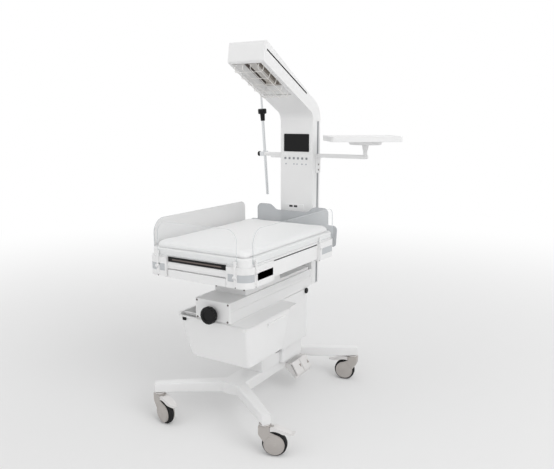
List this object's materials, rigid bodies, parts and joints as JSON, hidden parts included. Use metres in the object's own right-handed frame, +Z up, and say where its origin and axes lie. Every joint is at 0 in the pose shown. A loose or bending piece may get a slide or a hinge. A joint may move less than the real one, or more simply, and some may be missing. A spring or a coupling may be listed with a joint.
{
  "type": "infant radiant warmer",
  "caption": "Castored infant radiant warmer: telescopic pedestal, tilting bed with fold-down clear panels, storage bin, column with overhead heater head, shelf and infusion pole.",
  "frame": {"origin": "on the floor, on the base's mirror plane, half way between the front and rear castor pivots", "axes": "+Z up, +Y from the foot end towards the heater column, +X to the right as seen from the foot end"},
  "size_m": [1.1231, 1.2695, 1.9924],
  "materials": {
    "white_painted_steel": "satin powder coat",
    "white_plastic": "smooth moulded",
    "grey_plastic": "fine grain",
    "castor_grey": "moulded",
    "tyre_rubber": "matt",
    "black_plastic": "ribbed grip",
    "display_glass": "gloss black",
    "lamp_plastic": "clear lens",
    "foam_cover": "wipe-clean cover over foam",
    "clear_acrylic": "clear sheet",
    "smoked_acrylic": "grey translucent sheet",
    "bright_steel": "bright plated",
    "extruded_aluminium": "anodised",
    "ceramic": "fired ceramic"
  },
  "bodies": {
    "base": {"base_frame": "white_painted_steel", "base_plinth": "white_plastic", "inner_column": "white_painted_steel", "lift_actuator": "bright_steel", "pedal_housing": "grey_plastic"},
    "carriage": {"outer_cover": "white_painted_steel", "beam_box": "white_painted_steel", "bin_runners": "white_plastic", "neck": "white_painted_steel", "column": "white_painted_steel", "side_rails": "extruded_aluminium", "head_shell": "white_plastic", "head_bezel": "white_plastic", "reflector": "extruded_aluminium", "heater_element": "ceramic", "wire_guard": "bright_steel", "display": "display_glass", "indicator_lamps": "lamp_plastic", "sensor_module": "white_plastic", "screws": "bright_steel", "shelf_arm": "white_painted_steel", "pole_arm": "white_painted_steel"},
    "bed": {"bed_frame": "white_plastic", "mattress": "foam_cover", "foot_rail": "white_plastic", "corner_blocks": "white_plastic"},
    "tilt_knob": {"tilt_knob": "black_plastic", "tilt_spindle": "bright_steel"},
    "side_knob": {"side_knob": "black_plastic"},
    "bin": {"storage_bin": "white_plastic"},
    "tray": {"xray_tray": "white_plastic"},
    "foot_panel": {"foot_panel": "clear_acrylic"},
    "left_panel": {"left_panel": "clear_acrylic"},
    "right_panel": {"right_panel": "clear_acrylic"},
    "head_panel": {"head_panel": "smoked_acrylic"},
    "shelf": {"shelf": "white_plastic"},
    "pole": {"pole_tube": "bright_steel"},
    "pole_rod": {"pole_rod": "bright_steel"},
    "pole_collar": {"pole_collar": "black_plastic"},
    "pole_knob": {"pole_knob": "black_plastic"},
    "pedal_raise": {"pedal_raise": "grey_plastic"},
    "pedal_lower": {"pedal_lower": "grey_plastic"},
    "key_1": {"key_1": "grey_plastic"},
    "key_2": {"key_2": "grey_plastic"},
    "key_3": {"key_3": "grey_plastic"},
    "key_4": {"key_4": "grey_plastic"},
    "key_5": {"key_5": "grey_plastic"},
    "key_6": {"key_6": "grey_plastic"},
    "castor_front_right": {"fork_front_right": "castor_grey"},
    "wheel_front_right": {"wheel_front_right": "tyre_rubber"},
    "brake_front_right": {"brake_front_right": "grey_plastic"},
    "castor_front_left": {"fork_front_left": "castor_grey"},
    "wheel_front_left": {"wheel_front_left": "tyre_rubber"},
    "brake_front_left": {"brake_front_left": "grey_plastic"},
    "castor_rear_right": {"fork_rear_right": "castor_grey"},
    "wheel_rear_right": {"wheel_rear_right": "tyre_rubber"},
    "brake_rear_right": {"brake_rear_right": "grey_plastic"},
    "castor_rear_left": {"fork_rear_left": "castor_grey"},
    "wheel_rear_left": {"wheel_rear_left": "tyre_rubber"},
    "brake_rear_left": {"brake_rear_left": "grey_plastic"}
  },
  "joints": [
    {"name": "height_lift", "type": "slide", "parent": "base", "child": "carriage", "axis": [0, 0, 1], "range_m": [-0.02, 0.18]},
    {"name": "bed_tilt", "type": "hinge", "parent": "carriage", "child": "bed", "pos_m": [0, -0.145, 0.79], "axis": [1, 0, 0], "range_deg": [-8, 8]},
    {"name": "tilt_knob_turn", "type": "hinge", "parent": "carriage", "child": "tilt_knob", "pos_m": [0, -0.5, 0.643], "axis": [0, -1, 0], "range_deg": [-725, 725]},
    {"name": "bin_slide", "type": "slide", "parent": "carriage", "child": "bin", "axis": [1, 0, 0], "range_m": [-0.16, 0.16]},
    {"name": "tray_slide", "type": "slide", "parent": "bed", "child": "tray", "axis": [0, -1, 0], "range_m": [0, 0.4]},
    {"name": "foot_panel_fold", "type": "hinge", "parent": "bed", "child": "foot_panel", "pos_m": [0, -0.604, 0.89], "axis": [1, 0, 0], "range_deg": [0, 180]},
    {"name": "right_panel_fold", "type": "hinge", "parent": "bed", "child": "right_panel", "pos_m": [0.313, 0, 0.912], "axis": [0, 1, 0], "range_deg": [0, 180]},
    {"name": "left_panel_fold", "type": "hinge", "parent": "bed", "child": "left_panel", "pos_m": [-0.313, 0, 0.912], "axis": [0, -1, 0], "range_deg": [0, 180]},
    {"name": "head_panel_lift", "type": "slide", "parent": "bed", "child": "head_panel", "axis": [0, 0, 1], "range_m": [0, 0.2]},
    {"name": "shelf_swivel", "type": "hinge", "parent": "carriage", "child": "shelf", "pos_m": [0.415, 0.433, 1.43], "axis": [0, 0, 1], "continuous": true},
    {"name": "side_knob_turn", "type": "hinge", "parent": "carriage", "child": "side_knob", "pos_m": [0.112, 0.298, 0.595], "axis": [1, 0, 0], "range_deg": [-360, 360]},
    {"name": "pole_lean", "type": "hinge", "parent": "carriage", "child": "pole", "pos_m": [-0.262, 0.41, 1.394], "axis": [1, 0, 0], "range_deg": [-20, 20]},
    {"name": "pole_extension", "type": "slide", "parent": "pole", "child": "pole_rod", "axis": [0, -0.1132, 0.9936], "range_m": [-0.12, 0.25]},
    {"name": "pole_collar_twist", "type": "hinge", "parent": "pole", "child": "pole_collar", "pos_m": [-0.2613, 0.4112, 1.59543], "axis": [0, -0.1132, 0.9936], "range_deg": [-60, 60]},
    {"name": "pole_knob_turn", "type": "hinge", "parent": "carriage", "child": "pole_knob", "pos_m": [-0.276, 0.41, 1.394], "axis": [-1, 0, 0], "range_deg": [-360, 360]},
    {"name": "swivel_front_right", "type": "hinge", "parent": "base", "child": "castor_front_right", "pos_m": [0.335, -0.51, 0.163], "axis": [0, 0, 1], "continuous": true},
    {"name": "roll_front_right", "type": "hinge", "parent": "castor_front_right", "child": "wheel_front_right", "pos_m": [0.38199, -0.4929, 0.0625], "axis": [-0.342, 0.9397, 0], "continuous": true},
    {"name": "brake_press_front_right", "type": "hinge", "parent": "castor_front_right", "child": "brake_front_right", "pos_m": [0.36883, -0.49769, 0.142], "axis": [-0.342, 0.9397, 0], "range_deg": [0, 5]},
    {"name": "swivel_front_left", "type": "hinge", "parent": "base", "child": "castor_front_left", "pos_m": [-0.335, -0.51, 0.163], "axis": [0, 0, 1], "continuous": true},
    {"name": "roll_front_left", "type": "hinge", "parent": "castor_front_left", "child": "wheel_front_left", "pos_m": [-0.2867, -0.52294, 0.0625], "axis": [0.2588, 0.9659, 0], "continuous": true},
    {"name": "brake_press_front_left", "type": "hinge", "parent": "castor_front_left", "child": "brake_front_left", "pos_m": [-0.30023, -0.51932, 0.142], "axis": [0.2588, 0.9659, 0], "range_deg": [0, 5]},
    {"name": "swivel_rear_right", "type": "hinge", "parent": "base", "child": "castor_rear_right", "pos_m": [0.335, 0.51, 0.163], "axis": [0, 0, 1], "continuous": true},
    {"name": "roll_rear_right", "type": "hinge", "parent": "castor_rear_right", "child": "wheel_rear_right", "pos_m": [0.28609, 0.4996, 0.0625], "axis": [0.2079, -0.9781, 0], "continuous": true},
    {"name": "brake_press_rear_right", "type": "hinge", "parent": "castor_rear_right", "child": "brake_rear_right", "pos_m": [0.29979, 0.50252, 0.142], "axis": [0.2079, -0.9781, 0], "range_deg": [0, 5]},
    {"name": "swivel_rear_left", "type": "hinge", "parent": "base", "child": "castor_rear_left", "pos_m": [-0.335, 0.51, 0.163], "axis": [0, 0, 1], "continuous": true},
    {"name": "roll_rear_left", "type": "hinge", "parent": "castor_rear_left", "child": "wheel_rear_left", "pos_m": [-0.38199, 0.4929, 0.0625], "axis": [0.342, -0.9397, 0], "continuous": true},
    {"name": "brake_press_rear_left", "type": "hinge", "parent": "castor_rear_left", "child": "brake_rear_left", "pos_m": [-0.36883, 0.49769, 0.142], "axis": [0.342, -0.9397, 0], "range_deg": [0, 5]},
    {"name": "press_pedal_raise", "type": "hinge", "parent": "base", "child": "pedal_raise", "pos_m": [0.10597, 0, 0.18362], "axis": [0, 1, 0], "range_deg": [0, 4], "stiffness_Nm_per_rad": 2, "springref_deg": -2.86},
    {"name": "press_pedal_lower", "type": "hinge", "parent": "base", "child": "pedal_lower", "pos_m": [0.10597, 0, 0.18362], "axis": [0, 1, 0], "range_deg": [0, 4], "stiffness_Nm_per_rad": 2, "springref_deg": -2.86},
    {"name": "press_key_1", "type": "slide", "parent": "carriage", "child": "key_1", "axis": [0, 1, 0], "range_m": [0, 0.001], "stiffness_N_per_m": 800, "springref_m": -0.001},
    {"name": "press_key_2", "type": "slide", "parent": "carriage", "child": "key_2", "axis": [0, 1, 0], "range_m": [0, 0.001], "stiffness_N_per_m": 800, "springref_m": -0.001},
    {"name": "press_key_3", "type": "slide", "parent": "carriage", "child": "key_3", "axis": [0, 1, 0], "range_m": [0, 0.001], "stiffness_N_per_m": 800, "springref_m": -0.001},
    {"name": "press_key_4", "type": "slide", "parent": "carriage", "child": "key_4", "axis": [0, 1, 0], "range_m": [0, 0.001], "stiffness_N_per_m": 800, "springref_m": -0.001},
    {"name": "press_key_5", "type": "slide", "parent": "carriage", "child": "key_5", "axis": [0, 1, 0], "range_m": [0, 0.001], "stiffness_N_per_m": 800, "springref_m": -0.001},
    {"name": "press_key_6", "type": "slide", "parent": "carriage", "child": "key_6", "axis": [0, 1, 0], "range_m": [0, 0.001], "stiffness_N_per_m": 800, "springref_m": -0.001}
  ],
  "couplings": [
    {"joint": "tilt_knob_turn", "follows": "bed_tilt", "ratio": 90}
  ]
}
